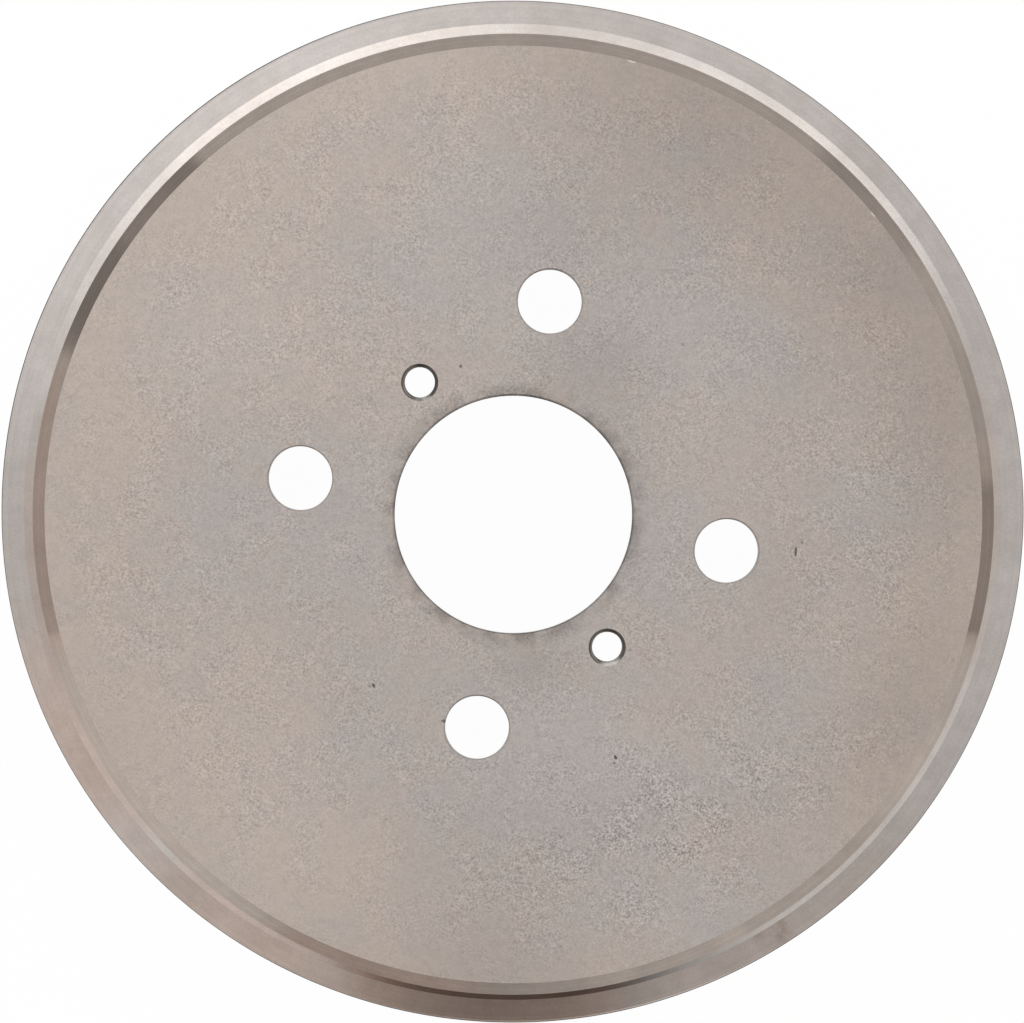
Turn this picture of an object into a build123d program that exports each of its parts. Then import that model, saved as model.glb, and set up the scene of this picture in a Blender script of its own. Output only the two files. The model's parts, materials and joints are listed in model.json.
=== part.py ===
"""Rear brake drum: one grey-iron casting, turned on its working faces.

The drum stands on its open lip, with its wheel face up. The origin is on the axis in the
plane of the open lip, +Z points from the lip to the wheel face, and +X runs through one
bolt hole. All sizes are in mm.
"""

import os

from build123d import *

# Body of the drum
drum_height = 52.0  # open lip to wheel face
friction_diameter = 200.0  # surface that the brake shoes rub on
shell_wall = 11.25  # round the friction surface
web_thickness = 7.0  # wheel face to hub land
shoulder = 2.9  # 45 degree turned edge of the wheel face

# Flange round the open lip
flange_overhang = 9.75  # from the shell's wall out to the rim
flange_thickness = 11.2  # at the shell's wall
root_width = 4.25  # tapered band between the shell's wall and the flange's wheel side
root_slope = 22.0  # degrees that the band falls towards the rim
root_fillet = 3.0  # between the shell's wall and the band
flange_slope = 7.0  # degrees that the flange's wheel side falls towards the rim
rim_chamfer = 0.5

# Inside
mouth_chamfer = 2.0  # lead-in for the shoes
relief_width = 8.0  # run-out beyond the friction surface, up to the cast web
relief_depth = 1.0
corner_fillet = 5.0  # cast corner between the relief and the web
land_margin = 18.0  # hub land beyond the bolt circle
land_height = 1.0  # hub land above the cast web

# Groove in the lip, for the edge of the backing plate
groove_inset = 8.0  # from the friction surface
groove_width = 6.0
groove_depth = 5.0

# Holes
centre_bore_diameter = 55.0
bore_chamfer = 0.5
bolt_circle_diameter = 100.0
bolt_hole_count = 4
bolt_hole_diameter = 14.8
bolt_hole_edge = 0.3
jack_hole_count = 2  # threaded M8 x 1, to press the drum off its hub
jack_drill_diameter = 7.0
jack_sink_diameter = 8.6
jack_hole_setback = 10.0  # hole's centre to the centre bore's wall

# Worked out from the sizes above
friction_radius = friction_diameter / 2
relief_radius = friction_radius + relief_depth
shell_radius = friction_radius + shell_wall
rim_radius = shell_radius + flange_overhang
bore_radius = centre_bore_diameter / 2
bolt_circle_radius = bolt_circle_diameter / 2
bolt_hole_radius = bolt_hole_diameter / 2
jack_circle_radius = bore_radius + jack_hole_setback
bolt_pitch = 360 / bolt_hole_count
first_jack_angle = -bolt_pitch / 2
land_radius = bolt_circle_radius + land_margin
land_z = drum_height - web_thickness
web_z = land_z + land_height
relief_z = web_z - relief_width


def corner(section: BuildSketch, radius: float, height: float) -> Vertex:
    """Give the section's corner at one radius and height."""
    return section.vertices().sort_by_distance((radius, height))[0]


def ring_edges(part: Part, radius: float, height: float) -> ShapeList[Edge]:
    """Give the part's circular edges of one radius that lie at one height."""
    circles = part.edges().filter_by(GeomType.CIRCLE)
    same_radius = circles.filter_by(lambda edge: abs(edge.radius - radius) < 1e-4)
    return same_radius.filter_by(lambda edge: abs(edge.arc_center.Z - height) < 1e-4)


with BuildPart() as brake_drum:
    # The turned outside: flange, root band, shell wall, shoulder and wheel face
    with BuildSketch(Plane.XZ) as outside:
        with BuildLine():
            root_band = PolarLine(
                (shell_radius, flange_thickness),
                root_width,
                -root_slope,
                length_mode=LengthMode.HORIZONTAL,
            )
            flange_side = PolarLine(
                root_band @ 1,
                flange_overhang - root_width,
                -flange_slope,
                length_mode=LengthMode.HORIZONTAL,
            )
            Polyline(
                flange_side @ 1,
                (rim_radius, 0),
                (0, 0),
                (0, drum_height),
                (shell_radius - shoulder, drum_height),
                (shell_radius, drum_height - shoulder),
                root_band @ 0,
            )
        make_face()
        fillet(corner(outside, shell_radius, flange_thickness), root_fillet)
        chamfer(corner(outside, rim_radius, (flange_side @ 1).Y), rim_chamfer)
        chamfer(corner(outside, rim_radius, 0), rim_chamfer)
    revolve(axis=Axis.Z)

    # The inside: mouth, friction surface, relief, cast web and the raised hub land
    with BuildSketch(Plane.XZ) as inside:
        with BuildLine():
            Polyline(
                (0, 0),
                (friction_radius + mouth_chamfer, 0),
                (friction_radius, mouth_chamfer),
                (friction_radius, relief_z),
                (relief_radius, relief_z + relief_depth),
                (relief_radius, web_z),
                (land_radius + land_height, web_z),
                (land_radius, land_z),
                (0, land_z),
                close=True,
            )
        make_face()
        fillet(corner(inside, relief_radius, web_z), corner_fillet)
    revolve(axis=Axis.Z, mode=Mode.SUBTRACT)

    # The groove in the lip
    with BuildSketch(Plane.XZ):
        with Locations((friction_radius + groove_inset, 0)):
            Rectangle(groove_width, groove_depth, align=Align.MIN)
    revolve(axis=Axis.Z, mode=Mode.SUBTRACT)

    # The holes in the web, all drilled down from the wheel face
    with Locations((0, 0, drum_height)):
        Hole(bore_radius)
        with PolarLocations(bolt_circle_radius, bolt_hole_count):
            Hole(bolt_hole_radius)
        with PolarLocations(jack_circle_radius, jack_hole_count, first_jack_angle):
            CounterSinkHole(
                jack_drill_diameter / 2, jack_sink_diameter / 2, counter_sink_angle=90
            )
    for web_side in (land_z, drum_height):
        chamfer(ring_edges(brake_drum.part, bore_radius, web_side), bore_chamfer)
        chamfer(ring_edges(brake_drum.part, bolt_hole_radius, web_side), bolt_hole_edge)

brake_drum.part.label = "brake_drum"

os.makedirs("parts", exist_ok=True)
export_step(brake_drum.part, "parts/brake_drum.step")
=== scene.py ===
"""Dressed brake drum: one grey-iron casting, blasted and turned, lying on a pale studio floor.

The drum lies on its open lip, as in the frame: its axis is Z, its wheel face is up, and one
bolt hole is on +X. Sizes in the classes are in mm, and meshes are made in metres.
"""

import json
import logging
import math
from collections.abc import Iterable, Sequence
from dataclasses import dataclass
from enum import Enum
from functools import partial, reduce

import bmesh
import bpy
from bpy.types import Material, Node, NodeSocket, Object, World
from mathutils import Matrix, Vector


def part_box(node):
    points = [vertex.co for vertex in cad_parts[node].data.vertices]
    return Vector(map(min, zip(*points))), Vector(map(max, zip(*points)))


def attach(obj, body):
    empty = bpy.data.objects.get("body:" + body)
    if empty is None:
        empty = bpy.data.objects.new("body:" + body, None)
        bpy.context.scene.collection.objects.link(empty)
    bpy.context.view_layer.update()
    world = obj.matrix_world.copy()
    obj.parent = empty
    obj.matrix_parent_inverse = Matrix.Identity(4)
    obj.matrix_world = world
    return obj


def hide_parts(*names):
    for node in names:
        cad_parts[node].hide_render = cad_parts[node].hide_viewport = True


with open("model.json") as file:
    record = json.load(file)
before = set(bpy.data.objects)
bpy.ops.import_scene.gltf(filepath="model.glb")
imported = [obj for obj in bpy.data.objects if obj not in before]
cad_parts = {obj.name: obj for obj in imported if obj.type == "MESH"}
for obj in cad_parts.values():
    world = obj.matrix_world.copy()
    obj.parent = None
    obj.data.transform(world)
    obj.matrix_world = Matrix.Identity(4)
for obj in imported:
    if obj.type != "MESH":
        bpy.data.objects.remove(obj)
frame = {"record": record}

log = logging.getLogger("brake_drum")

MM = 0.001
NODE = "brake_drum"
BODY = "root"
RIM_SLACK = 0.002  # mm that the turned rim keeps inside the frame's box

Pair = tuple[float, float]
Triple = tuple[float, float, float]
Tone = Triple
Value = NodeSocket | float
Inputs = dict[int | str, NodeSocket | float | Sequence[float]]


@dataclass(frozen=True)
class PictureAxes:
    """The directions right and up in the camera's picture, laid flat on the wheel face.

    Args:
        turn: Angle from +X, through one bolt hole, to the picture's right, in degrees.
    """

    turn: float

    def place(self, right: float, up: float, height: float = 0.0) -> Vector:
        """Turn a place given along the picture's axes into the frame's, in the same unit."""
        return Matrix.Rotation(math.radians(self.turn), 3, "Z") @ Vector((right, up, height))

    def toward(self, bearing: float, rise: float) -> Vector:
        """Give a direction of length 1.

        Args:
            bearing: Counter-clockwise from the picture's right, in degrees.
            rise: Above the floor, in degrees.

        Returns:
            The direction.
        """
        around = math.radians(bearing)
        up = math.radians(rise)
        flat = (math.cos(around) * math.cos(up), math.sin(around) * math.cos(up))
        return self.place(*flat, math.sin(up))


PICTURE = PictureAxes(turn=9.7)

# Corners of the dark camera stand's foot and column, right, up and height in metres
STAND_FOOT = ((-0.48, -0.75, 0.0), (0.15, -0.75, 0.0), (-0.16, -0.542, 0.4), (0.18, -0.542, 0.4))
STAND_COLUMN = (
    (-0.16, -0.542, 0.4),
    (0.23, -0.542, 0.4),
    (-0.002, -0.178, 1.1),
    (0.01, -0.178, 1.1),
)


# -------------------- modelling by hand


@dataclass(frozen=True)
class Corner:
    """One corner of a turned section.

    Args:
        radius: Distance from the axis, in mm.
        height: Height above the open lip's plane, in mm.
        fillet: Radius that rounds the corner, in mm, or 0 for a sharp one.
    """

    radius: float
    height: float
    fillet: float = 0.0

    @property
    def place(self) -> Vector:
        """The corner's place in the XZ plane, in metres."""
        return Vector((self.radius, 0.0, self.height)) * MM


def report(piece: Object) -> None:
    """Log a piece's name, faces and materials."""
    mesh = piece.data
    log.info("%s: %d faces, %d finishes", piece.name, len(mesh.polygons), len(mesh.materials))


def select_alone(*pieces: Object) -> None:
    """Select some pieces and nothing else, the first of them active.

    Args:
        *pieces: The pieces.
    """
    bpy.ops.object.select_all(action="DESELECT")
    for piece in pieces:
        piece.select_set(True)
    bpy.context.view_layer.objects.active = pieces[0]


def select_vertices(piece: Object, places: Iterable[Vector], reach: float = 1e-6) -> None:
    """Select, in edit mode, the vertices that stand at some places.

    Args:
        piece: The piece in edit mode.
        places: Places in the row frame, in metres.
        reach: How near a vertex has to be, in metres.
    """
    mesh = bmesh.from_edit_mesh(piece.data)
    wanted = [place - piece.location for place in places]
    for vertex in mesh.verts:
        vertex.select = any((vertex.co - place).length < reach for place in wanted)
    mesh.select_flush_mode()
    bmesh.update_edit_mesh(piece.data)


def settle(piece: Object) -> None:
    """Leave edit mode and put a piece's place, turn and scale into its mesh.

    Args:
        piece: The piece.
    """
    if piece.mode == "EDIT":
        bpy.ops.object.mode_set(mode="OBJECT")
    select_alone(piece)
    bpy.ops.object.transform_apply(location=True, rotation=True, scale=True)


def weld(reach: float) -> None:
    """Merge the doubles of the mesh in edit mode, and turn its faces outward.

    Args:
        reach: How near two vertices are to be merged, in metres.
    """
    bpy.ops.mesh.select_all(action="SELECT")
    bpy.ops.mesh.remove_doubles(threshold=reach)
    bpy.ops.mesh.normals_make_consistent(inside=False)


def cut(piece: Object, tool: Object) -> None:
    """Take a tool's shape out of a piece with an exact boolean, then remove the tool.

    Args:
        piece: The piece that is cut.
        tool: What is cut out of it.
    """
    select_alone(piece)
    modifier = piece.modifiers.new("cut", "BOOLEAN")
    modifier.operation = "DIFFERENCE"
    modifier.solver = "EXACT"
    modifier.object = tool
    bpy.ops.object.modifier_apply(modifier=modifier.name)
    bpy.data.objects.remove(tool)


@dataclass(frozen=True)
class Lathe:
    """Draws a section corner by corner and spins it round the Z axis.

    Args:
        steps: Faces round the axis.
        arc_segments: Edges along each rounded corner of the section.
        arc_profile: Shape of a rounded corner, 0.5 for a circle's arc.
        weld: How near two vertices are to be merged, in metres.
    """

    steps: int
    arc_segments: int = 10
    arc_profile: float = 0.5
    weld: float = 1e-6

    def draw(self, name: str, corners: Sequence[Corner], closed: bool) -> Object:
        """Draw the section, and leave it in edit mode.

        Args:
            name: The new object's name.
            corners: The section's corners in order.
            closed: Whether the last corner is joined to the first.

        Returns:
            The new object, in edit mode.
        """
        bpy.ops.object.select_all(action="DESELECT")
        bpy.ops.mesh.primitive_plane_add(size=MM, location=corners[0].place)
        piece = bpy.context.object
        piece.name = name
        bpy.ops.object.mode_set(mode="EDIT")
        bpy.ops.mesh.select_all(action="SELECT")
        bpy.ops.mesh.merge(type="CENTER")
        for here, there in zip(corners, corners[1:]):
            step = tuple(there.place - here.place)
            bpy.ops.mesh.extrude_region_move(TRANSFORM_OT_translate={"value": step})
        if closed:
            select_vertices(piece, (corners[0].place, corners[-1].place))
            bpy.ops.mesh.edge_face_add()
        for index, corner in enumerate(corners):
            if corner.fillet:
                self.round_off(piece, corners, index)
        return piece

    def round_off(self, piece: Object, corners: Sequence[Corner], index: int) -> None:
        """Round one corner of the section that is in edit mode.

        Args:
            piece: The section.
            corners: Its corners.
            index: Which of them to round.
        """
        corner = corners[index]
        back = corners[index - 1].place - corner.place
        ahead = corners[(index + 1) % len(corners)].place - corner.place
        tangent = corner.fillet * MM / math.tan(back.angle(ahead) / 2)
        select_vertices(piece, (corner.place,))
        bpy.ops.mesh.bevel(
            affect="VERTICES",
            offset=tangent,
            segments=self.arc_segments,
            profile=self.arc_profile,
        )

    def turn(self, name: str, corners: Sequence[Corner], closed: bool = True) -> Object:
        """Make a turned solid. A section that isn't closed starts and ends on the axis.

        Args:
            name: The new object's name.
            corners: The section's corners in order.
            closed: Whether the last corner is joined to the first.

        Returns:
            The new object, at the origin.
        """
        piece = self.draw(name, corners, closed)
        bpy.ops.mesh.select_all(action="SELECT")
        bpy.ops.mesh.spin(steps=self.steps, angle=math.tau, center=(0, 0, 0), axis=(0, 0, 1))
        weld(self.weld)
        settle(piece)
        return piece


# -------------------- the casting


# How far a face's normal points along the axis
LEVEL = 0.999  # at least, on a level face
UPRIGHT = 0.01  # at most, on an upright face
RIM_EDGE = 0.1  # at least, on the rim's upper edge
SINK_SLOPES = (0.6, 0.8)  # between these on a countersink


class Zone(Enum):
    """The surfaces of the drum that are worked in different ways, in slot order."""

    WHEEL_FACE = 0
    SHOULDER = 1
    SHELL_WALL = 2
    ROOT = 3
    FLANGE = 4
    RIM = 5
    FRICTION_RING = 6
    CAST_WEB = 7
    HUB_LAND = 8
    HOLES = 9
    COUNTERSINK = 10


@dataclass(frozen=True)
class ScrewThread:
    """Metric thread, cut as a helical groove.

    Args:
        major_diameter: Nominal diameter, in mm.
        pitch: Rise in one turn, in mm.
        steps: Faces in one turn.
        flank: Angle from the thread's middle plane to its side, in degrees.
        flat: Width of the groove's root, as a share of the pitch.
        clear: How far the tool stands out of the drilled wall, in mm.
    """

    major_diameter: float
    pitch: float
    steps: int = 48
    flank: float = 30.0
    flat: float = 0.125
    clear: float = 0.2

    def groove(self, name: str, drill_radius: float, low: float, high: float) -> Object:
        """Make the helical tool that cuts the thread, on the Z axis.

        Args:
            name: The new object's name.
            drill_radius: Radius of the drilled hole, in mm.
            low: Where the groove starts, in mm.
            high: Where it ends, in mm.

        Returns:
            The closed tool.
        """
        root = self.major_diameter / 2
        inner = drill_radius - self.clear
        root_half = self.pitch * self.flat / 2
        inner_half = root_half + (root - inner) * math.tan(math.radians(self.flank))
        profile = (
            Corner(inner, low - inner_half),
            Corner(root, low - root_half),
            Corner(root, low + root_half),
            Corner(inner, low + inner_half),
        )
        tool = Lathe(self.steps).draw(name, profile, closed=True)
        settle(tool)
        screw = tool.modifiers.new("helix", "SCREW")
        screw.axis = "Z"
        screw.angle = math.tau
        screw.iterations = math.ceil((high - low) / self.pitch)
        screw.screw_offset = self.pitch * MM
        screw.steps = screw.render_steps = self.steps
        bpy.ops.object.modifier_apply(modifier=screw.name)
        bpy.ops.object.mode_set(mode="EDIT")
        bpy.ops.mesh.select_mode(type="EDGE")
        for end in self.open_ends(tool):
            bpy.ops.mesh.select_all(action="DESELECT")
            self.select_edges(tool, end)
            bpy.ops.mesh.edge_face_add()
        bpy.ops.mesh.select_all(action="SELECT")
        bpy.ops.mesh.normals_make_consistent(inside=False)
        bpy.ops.mesh.select_mode(type="VERT")
        settle(tool)
        return tool

    @staticmethod
    def open_ends(tool: Object) -> list[list[int]]:
        """Find the helix's two open ends.

        Args:
            tool: The helix, in edit mode.

        Returns:
            For each end, lowest first, the indices of its edges.
        """
        mesh = bmesh.from_edit_mesh(tool.data)
        rims = [edge for edge in mesh.edges if edge.is_boundary]
        rims.sort(key=lambda edge: sum(vertex.co.z for vertex in edge.verts))
        half = len(rims) // 2
        return [[edge.index for edge in rims[:half]], [edge.index for edge in rims[half:]]]

    @staticmethod
    def select_edges(tool: Object, indices: Iterable[int]) -> None:
        """Select some edges more.

        Args:
            tool: The piece in edit mode.
            indices: The edges.
        """
        mesh = bmesh.from_edit_mesh(tool.data)
        mesh.edges.ensure_lookup_table()
        for index in indices:
            mesh.edges[index].select = True
        mesh.select_flush_mode()
        bmesh.update_edit_mesh(tool.data)


@dataclass(frozen=True)
class WebHoles:
    """The holes in the web: four bolt holes and two threaded jack holes.

    Args:
        low: Height of the hub land, in mm.
        high: Height of the wheel face, in mm.
        bolt_circle_radius: Where the bolt holes stand, in mm.
        bolt_count: How many there are.
        bolt_radius: A bolt hole's radius, in mm.
        jack_places: Where the jack holes stand, in mm.
        jack_drill_radius: A jack hole's radius before it is threaded, in mm.
        bolt_edge: Size of the break at both ends of a bolt hole, in mm.
        jack_sink_radius: Radius of a jack hole's 90 degree countersink, in mm.
        thread: The jack holes' thread.
        clear: How far a tool stands out of the web, in mm.
    """

    low: float
    high: float
    bolt_circle_radius: float
    bolt_count: int
    bolt_radius: float
    jack_places: tuple[Pair, ...]
    jack_drill_radius: float
    bolt_edge: float = 0.3
    jack_sink_radius: float = 4.3
    thread: ScrewThread = ScrewThread(8.0, 1.0)
    clear: float = 1.0

    def bolt_places(self) -> list[Pair]:
        """Work out the bolt holes' places.

        Returns:
            Their centres, in mm.
        """
        pitch = math.tau / self.bolt_count
        ring = [index * pitch for index in range(self.bolt_count)]
        reach = self.bolt_circle_radius
        return [(reach * math.cos(angle), reach * math.sin(angle)) for angle in ring]

    def in_jack_hole(self, place: Vector) -> bool:
        """Say whether a place, in metres, is in a jack hole or its countersink."""
        spot = (place.x / MM, place.y / MM)
        return any(math.dist(spot, centre) < self.jack_sink_radius for centre in self.jack_places)

    def bolt_tool(self) -> Object:
        """Make the drill for one bolt hole, with both its edge breaks.

        Returns:
            The drill, on the Z axis.
        """
        flare = self.bolt_radius + self.bolt_edge + self.clear
        section = (
            Corner(0, self.low - self.clear),
            Corner(flare, self.low - self.clear),
            Corner(self.bolt_radius, self.low + self.bolt_edge),
            Corner(self.bolt_radius, self.high - self.bolt_edge),
            Corner(flare, self.high + self.clear),
            Corner(0, self.high + self.clear),
        )
        return Lathe(steps=128).turn("bolt_hole_tool", section, closed=False)

    def jack_tool(self) -> Object:
        """Make the drill and countersink for one jack hole.

        Returns:
            The drill, on the Z axis.
        """
        sink = self.jack_sink_radius
        section = (
            Corner(0, self.low - self.clear),
            Corner(self.jack_drill_radius, self.low - self.clear),
            Corner(self.jack_drill_radius, self.high - sink + self.jack_drill_radius),
            Corner(sink + self.clear, self.high + self.clear),
            Corner(0, self.high + self.clear),
        )
        return Lathe(steps=96).turn("jack_hole_tool", section, closed=False)

    def thread_tool(self) -> Object:
        """Make the thread's groove for one jack hole, on the Z axis."""
        return self.thread.groove(
            "jack_thread_tool", self.jack_drill_radius, self.low - self.clear, self.high
        )

    @staticmethod
    def spread(tool: Object, places: Sequence[Pair]) -> Object:
        """Copy a tool to each place and join the copies.

        Args:
            tool: The tool on the Z axis, which is removed once it is copied.
            places: The holes' centres, in mm.

        Returns:
            One object that holds all the copies.
        """
        copies = []
        for x, y in places:
            select_alone(tool)
            bpy.ops.object.duplicate(linked=False)
            copy = bpy.context.object
            bpy.ops.transform.translate(value=(x * MM, y * MM, 0))
            settle(copy)
            copies.append(copy)
        bpy.data.objects.remove(tool)
        select_alone(*copies)
        bpy.ops.object.join()
        return bpy.context.object

    def drill(self, casting: Object) -> None:
        """Cut every hole into the casting.

        Args:
            casting: The turned casting.
        """
        cut(casting, self.spread(self.bolt_tool(), self.bolt_places()))
        cut(casting, self.spread(self.jack_tool(), self.jack_places))
        cut(casting, self.spread(self.thread_tool(), self.jack_places))


@dataclass(frozen=True)
class DrumCasting:
    """The whole drum: flange, shell, web and lip as one turned and drilled casting.

    Args:
        height: Open lip to wheel face, in mm.
        rim_radius: The flange's outer radius, in mm.
        friction_radius: Radius of the surface that the shoes rub on, in mm.
        bore_radius: The centre bore's radius, in mm.
        holes: The holes in the web.
        shell_wall: Wall round the friction surface, in mm.
        shoulder: Size of the 45 degree edge of the wheel face, in mm.
        flange_thickness: At the shell's wall, in mm.
        root_width: Width of the tapered band beside the shell's wall, in mm.
        root_slope: How far the band falls towards the rim, in degrees.
        root_fillet: Between the shell's wall and the band, in mm.
        flange_slope: How far the flange's wheel side falls towards the rim, in degrees.
        rim_chamfer: Size of both edges of the rim, in mm.
        rim_line: Width of the rim's edge that gets the rim's painted dark line, in mm.
        mouth_chamfer: Lead-in for the shoes, in mm.
        relief_width: Run-out beyond the friction surface, in mm.
        relief_depth: How far it is cut back, in mm.
        corner_fillet: Cast corner between the relief and the web, in mm.
        land_radius: Radius of the machined hub land, in mm.
        land_height: How far the land stands above the cast web, in mm.
        bore_chamfer: Size of both edges of the centre bore, in mm.
        groove: Inner radius, width and depth of the groove in the lip, in mm.
        crease: Edges at a larger angle than this stay sharp, in degrees.
        weld: How near two vertices of the cut casting are to be merged, in metres.
        slack: How far off its surface a face may lie and still belong to it, in mm.
        lathe: How finely the casting is turned.
    """

    height: float
    rim_radius: float
    friction_radius: float
    bore_radius: float
    holes: WebHoles
    shell_wall: float = 11.25
    shoulder: float = 2.9
    flange_thickness: float = 11.2
    root_width: float = 4.25
    root_slope: float = 22.0
    root_fillet: float = 3.0
    flange_slope: float = 7.0
    rim_chamfer: float = 0.5
    rim_line: float = 0.2
    mouth_chamfer: float = 2.0
    relief_width: float = 8.0
    relief_depth: float = 1.0
    corner_fillet: float = 5.0
    land_radius: float = 68.0
    land_height: float = 1.0
    bore_chamfer: float = 0.5
    groove: tuple[float, float, float] = (108.0, 6.0, 5.0)
    crease: float = 12.0
    weld: float = 1e-7
    slack: float = 0.05
    lathe: Lathe = Lathe(steps=480)

    @property
    def shell_radius(self) -> float:
        """Outer radius of the shell, in mm."""
        return self.friction_radius + self.shell_wall

    @property
    def band_z(self) -> float:
        """Height of the flange's wheel side where the root band ends, in mm."""
        fall = math.tan(math.radians(self.root_slope))
        return self.flange_thickness - self.root_width * fall

    @property
    def land_z(self) -> float:
        """Height of the hub land, in mm."""
        return self.holes.low

    @property
    def web_z(self) -> float:
        """Height of the cast web's underside, in mm."""
        return self.land_z + self.land_height

    def outside(self) -> list[Corner]:
        """Work out the section from the centre bore out and down to the lip.

        Returns:
            Its corners.
        """
        fall = math.tan(math.radians(self.flange_slope))
        band_end = self.shell_radius + self.root_width
        rim_z = self.band_z - (self.rim_radius - band_end) * fall
        edge = self.rim_chamfer
        edge_z = rim_z + edge * fall
        line = self.rim_line / edge
        line_z = edge_z + (rim_z - edge - edge_z) * (1 - line)
        return [
            Corner(self.bore_radius, self.height - self.bore_chamfer),
            Corner(self.bore_radius + self.bore_chamfer, self.height),
            Corner(self.shell_radius - self.shoulder, self.height),
            Corner(self.shell_radius, self.height - self.shoulder),
            Corner(self.shell_radius, self.flange_thickness, self.root_fillet),
            Corner(band_end, self.band_z),
            Corner(self.rim_radius - edge, edge_z),
            Corner(self.rim_radius - self.rim_line, line_z),
            Corner(self.rim_radius, rim_z - edge),
            Corner(self.rim_radius, edge),
            Corner(self.rim_radius - edge, 0),
        ]

    def inside(self) -> list[Corner]:
        """Work out the section from the lip in and up to the centre bore.

        Returns:
            Its corners.
        """
        groove_start, groove_width, groove_depth = self.groove
        groove_end = groove_start + groove_width
        relief_radius = self.friction_radius + self.relief_depth
        relief_z = self.web_z - self.relief_width
        return [
            Corner(groove_end, 0),
            Corner(groove_end, groove_depth),
            Corner(groove_start, groove_depth),
            Corner(groove_start, 0),
            Corner(self.friction_radius + self.mouth_chamfer, 0),
            Corner(self.friction_radius, self.mouth_chamfer),
            Corner(self.friction_radius, relief_z),
            Corner(relief_radius, relief_z + self.relief_depth),
            Corner(relief_radius, self.web_z, self.corner_fillet),
            Corner(self.land_radius + self.land_height, self.web_z),
            Corner(self.land_radius, self.land_z),
            Corner(self.bore_radius + self.bore_chamfer, self.land_z),
            Corner(self.bore_radius, self.land_z + self.bore_chamfer),
        ]

    def zone(self, place: Vector, normal: Vector) -> Zone:
        """Say which surface a face belongs to.

        Args:
            place: The face's centre, in metres.
            normal: The way that it looks.

        Returns:
            The surface.
        """
        radius = math.hypot(place.x, place.y) / MM
        height = place.z / MM
        top = self.height - self.slack
        if height > self.land_z - self.slack and radius < self.land_radius:
            if abs(normal.z) > LEVEL:
                return Zone.WHEEL_FACE if height > top else Zone.HUB_LAND
            if self.holes.in_jack_hole(place):
                low, high = SINK_SLOPES
                return Zone.COUNTERSINK if low < normal.z < high else Zone.HOLES
            near_top = height > self.height - self.bore_chamfer
            return Zone.WHEEL_FACE if near_top else Zone.HOLES
        if height > top:
            return Zone.WHEEL_FACE
        if radius > self.rim_radius - self.rim_line:
            return Zone.RIM if normal.z > RIM_EDGE else Zone.SHELL_WALL
        if radius > self.shell_radius - self.shoulder and height > self.height - self.shoulder:
            return Zone.SHOULDER
        if radius > self.shell_radius - self.slack and height > self.flange_thickness:
            return Zone.SHELL_WALL if abs(normal.z) < UPRIGHT else Zone.ROOT
        if radius > self.shell_radius and height > self.band_z:
            return Zone.ROOT
        if radius > self.friction_radius + self.mouth_chamfer and height < self.flange_thickness:
            return Zone.FLANGE
        if height < self.web_z - self.corner_fillet:
            return Zone.FRICTION_RING
        return Zone.CAST_WEB

    def build(self) -> Object:
        """Turn and drill the casting, weld it, and smooth its shading by angle.

        Returns:
            The finished mesh, without its finishes.
        """
        casting = self.lathe.turn("brake_drum_casting", self.outside() + self.inside())
        self.holes.drill(casting)
        select_alone(casting)
        bpy.ops.object.mode_set(mode="EDIT")
        weld(self.weld)
        settle(casting)
        bpy.ops.object.shade_smooth_by_angle(angle=math.radians(self.crease))
        return casting

    def finishes(self) -> "FinishSet":
        """Give the set of finishes, placed by the drum's sizes."""
        return FinishSet(
            bore_radius=self.bore_radius,
            face_height=self.height,
            flange_radius=(self.shell_radius + self.rim_radius) / 2,
            flange_height=self.band_z,
        )

    def dress(self, casting: Object, finishes: dict[Zone, Material]) -> None:
        """Give every face of the casting the finish of its zone.

        Args:
            casting: The mesh from build.
            finishes: A material for each zone.
        """
        casting.data.materials.clear()
        for zone in Zone:
            casting.data.materials.append(finishes[zone])
        for face in casting.data.polygons:
            face.material_index = self.zone(face.center, face.normal).value


# -------------------- wiring


class Wiring:
    """Adds nodes to the tree of a material or world, and links them."""

    def __init__(self, owner: Material | World) -> None:
        """Start with the tree that a material or world has."""
        owner.use_nodes = True
        self.owner = owner
        self.tree = owner.node_tree

    def fill(self, node: Node, inputs: Inputs) -> None:
        """Link sockets to a node's inputs, or write plain values there.

        Args:
            node: The node.
            inputs: What goes into its inputs, by their names or numbers.
        """
        for key, value in inputs.items():
            if isinstance(value, NodeSocket):
                self.tree.links.new(value, node.inputs[key])
            else:
                node.inputs[key].default_value = value

    def node(self, kind: str, inputs: Inputs, **settings: str) -> Node:
        """Add a node.

        Args:
            kind: Its type, without the word ShaderNode.
            inputs: What goes into its inputs, by their names or numbers.
            **settings: Its own settings.

        Returns:
            The node.
        """
        node = self.tree.nodes.new(f"ShaderNode{kind}")
        for name, setting in settings.items():
            setattr(node, name, setting)
        self.fill(node, inputs)
        return node

    def add(
        self, kind: str, inputs: Inputs, output: int | str = 0, **settings: str
    ) -> NodeSocket:
        """Add a node as above, and give one of its outputs."""
        return self.node(kind, inputs, **settings).outputs[output]

    def maths(self, operation: str, *values: Value) -> NodeSocket:
        """Work out one operation on plain values."""
        return self.add("Math", dict(enumerate(values)), operation=operation)

    def mix(self, share: Value, first: NodeSocket, second: NodeSocket) -> NodeSocket:
        """Mix two shaders: the first at 0, the second at 1."""
        return self.add("MixShader", {0: share, 1: first, 2: second})


@dataclass(frozen=True)
class Cloud:
    """Soft unevenness: a noise whose middle levels are stretched between two values.

    Args:
        grain: Size of its lumps, in mm.
        detail: How many finer layers it has.
        levels: The noise's levels where it starts and ends.
        values: What it gives there.
    """

    grain: float
    detail: float
    levels: Pair = (0.3, 0.7)
    values: Pair = (0.0, 1.0)


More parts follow.
